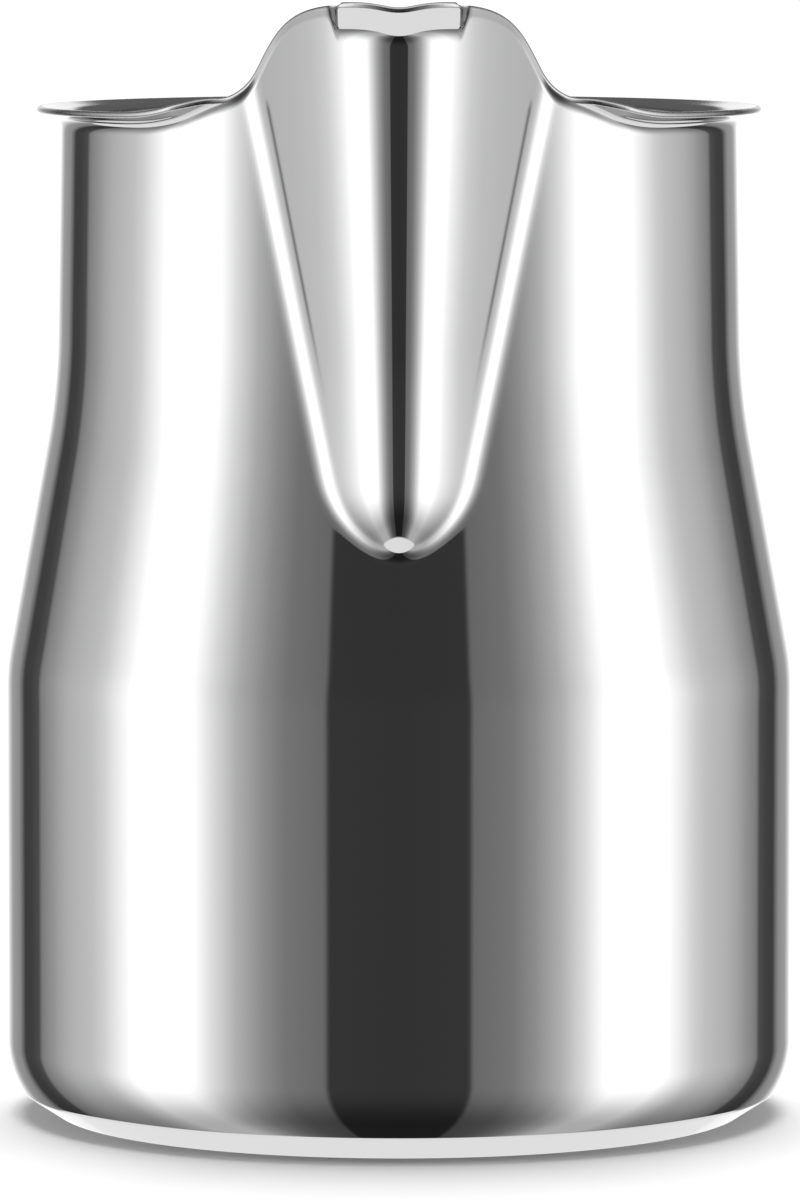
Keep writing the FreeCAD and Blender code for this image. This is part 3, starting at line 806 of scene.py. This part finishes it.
# Brightness of the studio round the pot, by degrees away from the camera's direction. Each stop is
# the picture level, 0 to 255 and a little above, at which the mirror steel shows that direction.
STUDIO_RING = [
    (0.0, 48), (20.2, 50),                                       # dark gap behind the camera
    (21.6, 100), (33.0, 112), (40.0, 135), (48.0, 168),          # studio wall, brighter to the sides
    (56.0, 213), (62.0, 250), (66.0, 266), (82.0, 266),          # soft light on each side
    (87.0, 241), (96.0, 200), (101.0, 185), (113.0, 167),        # wall behind it, falling away
    (117.5, 156), (122.0, 141), (126.0, 130), (129.3, 118),
    (131.5, 72), (137.0, 60), (143.0, 58),                       # dark line before the backdrop
    (145.5, 100), (149.0, 134), (158.0, 150), (164.0, 205),      # backdrop, white in the middle
    (169.0, 245), (174.0, 255), (180.0, 255),
]
STEEL_FACING = 0.79       # share of light that the polished steel returns head on
RING_PEAK = 1.6           # light that the ramp's white stands for

# the ring is a little brighter about this elevation; directions and elevations are in degrees
LEVEL_AT = -3.0
LEVEL_WIDTH = 12.0
LEVEL_GAIN = 0.08

LOW_FALL = (-50.0, -10.0)          # elevations over which the ring darkens towards the floor
LOW_LIGHT = 0.36                   # share of its light left there
BACKDROP_LOW = (158.0, 168.0)      # directions beyond which it doesn't darken

BACKDROP_SIDES = (125.0, 150.0)    # directions where the backdrop starts
BACKDROP_TOP = (15.0, 21.0)        # elevations where it ends
ABOVE_BACKDROP = 0.13              # light of the dark studio above it

OVERHEAD_FROM = (48.0, 68.0)       # elevations where the soft light overhead starts
OVERHEAD_LIGHT = 0.75

# the white table is seen where the downward part of a direction, of length 1, passes a line that
# depends on how far forward it points
TABLE_LINE = 0.858
TABLE_AHEAD = 0.30
TABLE_BEHIND = 0.50
TABLE_SOFT = 0.012
TABLE_LIGHT = 0.90

SEEN_BACKGROUND = 1.05             # light of the plain background that the camera sees

FLOOR_HALF = 3.0
FLOOR_DROP = 0.03 * MM             # below the pot, so that the two faces don't meet
FLOOR_GREY = 0.9

SUN_LIGHT = 3.2
SUN_WIDTH = math.radians(40.0)
SUN_TILT = math.radians(-14.0)     # from straight down, so that the shadow falls forward

CAMERA_ASIDE = 0.13 * MM
CAMERA_DISTANCE = 1.180
CAMERA_HEIGHT = 0.168
CAMERA_DOWN = math.radians(4.85)
CAMERA_LENS = 402.0                # focal length and sensor width, both in millimetres
CAMERA_SENSOR = 36.0
CAMERA_SEES = (0.01, 50.0)         # nearest and furthest distance


def linear(level):
    """Light of a picture's grey level, 0 to 255 and a little above."""
    s = level / 255.0
    return s / 12.92 if s <= 0.04045 else ((s + 0.055) / 1.055) ** 2.4


def light_needed(degrees, level):
    """Light that has to come from this direction for the mirror to show the level."""
    glancing = (1.0 - math.cos(math.radians(degrees / 2.0))) ** 5
    return linear(level) / (STEEL_FACING + (1.0 - STEEL_FACING) * glancing)


def studio_ramp(nodes, degrees):
    """Light of the ring in each direction round the pot."""
    ramp = nodes.add("ValToRGB")
    nodes.link(nodes.math("DIVIDE", degrees, 180.0), ramp.inputs[0])
    stops = ramp.color_ramp.elements
    while len(stops) < len(STUDIO_RING):
        stops.new(1.0)
    for stop, (at, level) in zip(stops, STUDIO_RING):
        light = light_needed(at, level) / RING_PEAK
        stop.position = at / 180.0
        stop.color = (light, light, light, 1.0)
    return nodes.times(ramp.outputs[0], RING_PEAK)


def studio_light(nodes):
    """Light that the steel mirrors, by direction alone."""
    x, y, up = nodes.axes(nodes.add("TexCoord").outputs["Generated"])
    front = nodes.times(y, -1.0)
    degrees = nodes.times(nodes.math("ARCTAN2", nodes.math("ABSOLUTE", x), front), 180.0 / math.pi)
    elevation = nodes.times(nodes.math("ARCSINE", up), 180.0 / math.pi)
    light = studio_ramp(nodes, degrees)

    about_level = nodes.bell(nodes.math("DIVIDE", nodes.math("SUBTRACT", elevation, LEVEL_AT), LEVEL_WIDTH))
    light = nodes.times(light, nodes.plus(nodes.times(about_level, LEVEL_GAIN), 1.0))

    fall = nodes.step(elevation, *LOW_FALL, LOW_LIGHT, 1.0)
    light = nodes.times(light, nodes.math("MAXIMUM", fall, nodes.step(degrees, *BACKDROP_LOW)))

    above = nodes.times(nodes.step(degrees, *BACKDROP_SIDES), nodes.step(elevation, *BACKDROP_TOP))
    light = nodes.cover(light, above, ABOVE_BACKDROP)
    light = nodes.cover(light, nodes.step(elevation, *OVERHEAD_FROM), OVERHEAD_LIGHT)

    ahead_line = nodes.math("MULTIPLY_ADD", front, TABLE_AHEAD, TABLE_LINE)
    behind_line = nodes.math("MULTIPLY_ADD", front, TABLE_BEHIND, TABLE_LINE)
    past_line = nodes.math("SUBTRACT", nodes.times(up, -1.0), nodes.math("MINIMUM", ahead_line, behind_line))
    return nodes.cover(light, nodes.step(past_line, -TABLE_SOFT, TABLE_SOFT), TABLE_LIGHT)


def build_world():
    world = bpy.data.worlds.new("studio")
    bpy.context.scene.world = world
    world.use_nodes = True
    nodes = Nodes(world.node_tree)
    lit = nodes.add("Background")
    nodes.link(studio_light(nodes), lit.inputs["Color"])
    plain = nodes.add("Background")
    plain.inputs["Color"].default_value = (1.0, 1.0, 1.0, 1.0)
    plain.inputs["Strength"].default_value = SEEN_BACKGROUND
    pick = nodes.add("MixShader")
    nodes.link(nodes.add("LightPath").outputs["Is Camera Ray"], pick.inputs[0])
    nodes.link(lit.outputs[0], pick.inputs[1])
    nodes.link(plain.outputs[0], pick.inputs[2])
    out = nodes.add("OutputWorld")
    nodes.link(pick.outputs[0], out.inputs["Surface"])


def build_floor():
    corners = ((-1, -1), (1, -1), (1, 1), (-1, 1))
    vertices = [(FLOOR_HALF * x, FLOOR_HALF * y, -FLOOR_DROP) for x, y in corners]
    floor = mesh_object("floor", vertices, [(0, 1, 2, 3)])
    material = bpy.data.materials.new("pale_floor")
    material.use_nodes = True
    nodes = Nodes(material.node_tree)
    shader = nodes.add("BsdfDiffuse")
    shader.inputs["Color"].default_value = (FLOOR_GREY, FLOOR_GREY, FLOOR_GREY, 1.0)
    out = nodes.add("OutputMaterial")
    nodes.link(shader.outputs[0], out.inputs["Surface"])
    floor.data.materials.append(material)
    floor.visible_glossy = False


def build_lights():
    """Soft light from above and a little behind: an even floor, and a short shadow in front."""
    light = bpy.data.lights.new("overhead", "SUN")
    light.angle = SUN_WIDTH
    light.energy = SUN_LIGHT
    lamp = bpy.data.objects.new("overhead", light)
    lamp.rotation_euler = (SUN_TILT, 0.0, 0.0)
    lamp.visible_glossy = False
    bpy.context.scene.collection.objects.link(lamp)


def build_camera():
    camera = bpy.data.cameras.new("camera")
    camera.sensor_fit = "HORIZONTAL"
    camera.sensor_width = CAMERA_SENSOR
    camera.lens = CAMERA_LENS
    camera.clip_start, camera.clip_end = CAMERA_SEES
    stand = bpy.data.objects.new("camera", camera)
    stand.location = (CAMERA_ASIDE, -CAMERA_DISTANCE, CAMERA_HEIGHT)
    stand.rotation_euler = (math.pi / 2.0 - CAMERA_DOWN, 0.0, 0.0)
    bpy.context.scene.collection.objects.link(stand)
    bpy.context.scene.camera = stand


build_camera()
build_pot()
build_handle()
finish_welds()
build_world()
build_floor()
build_lights()
bpy.context.scene.view_settings.view_transform = "Standard"
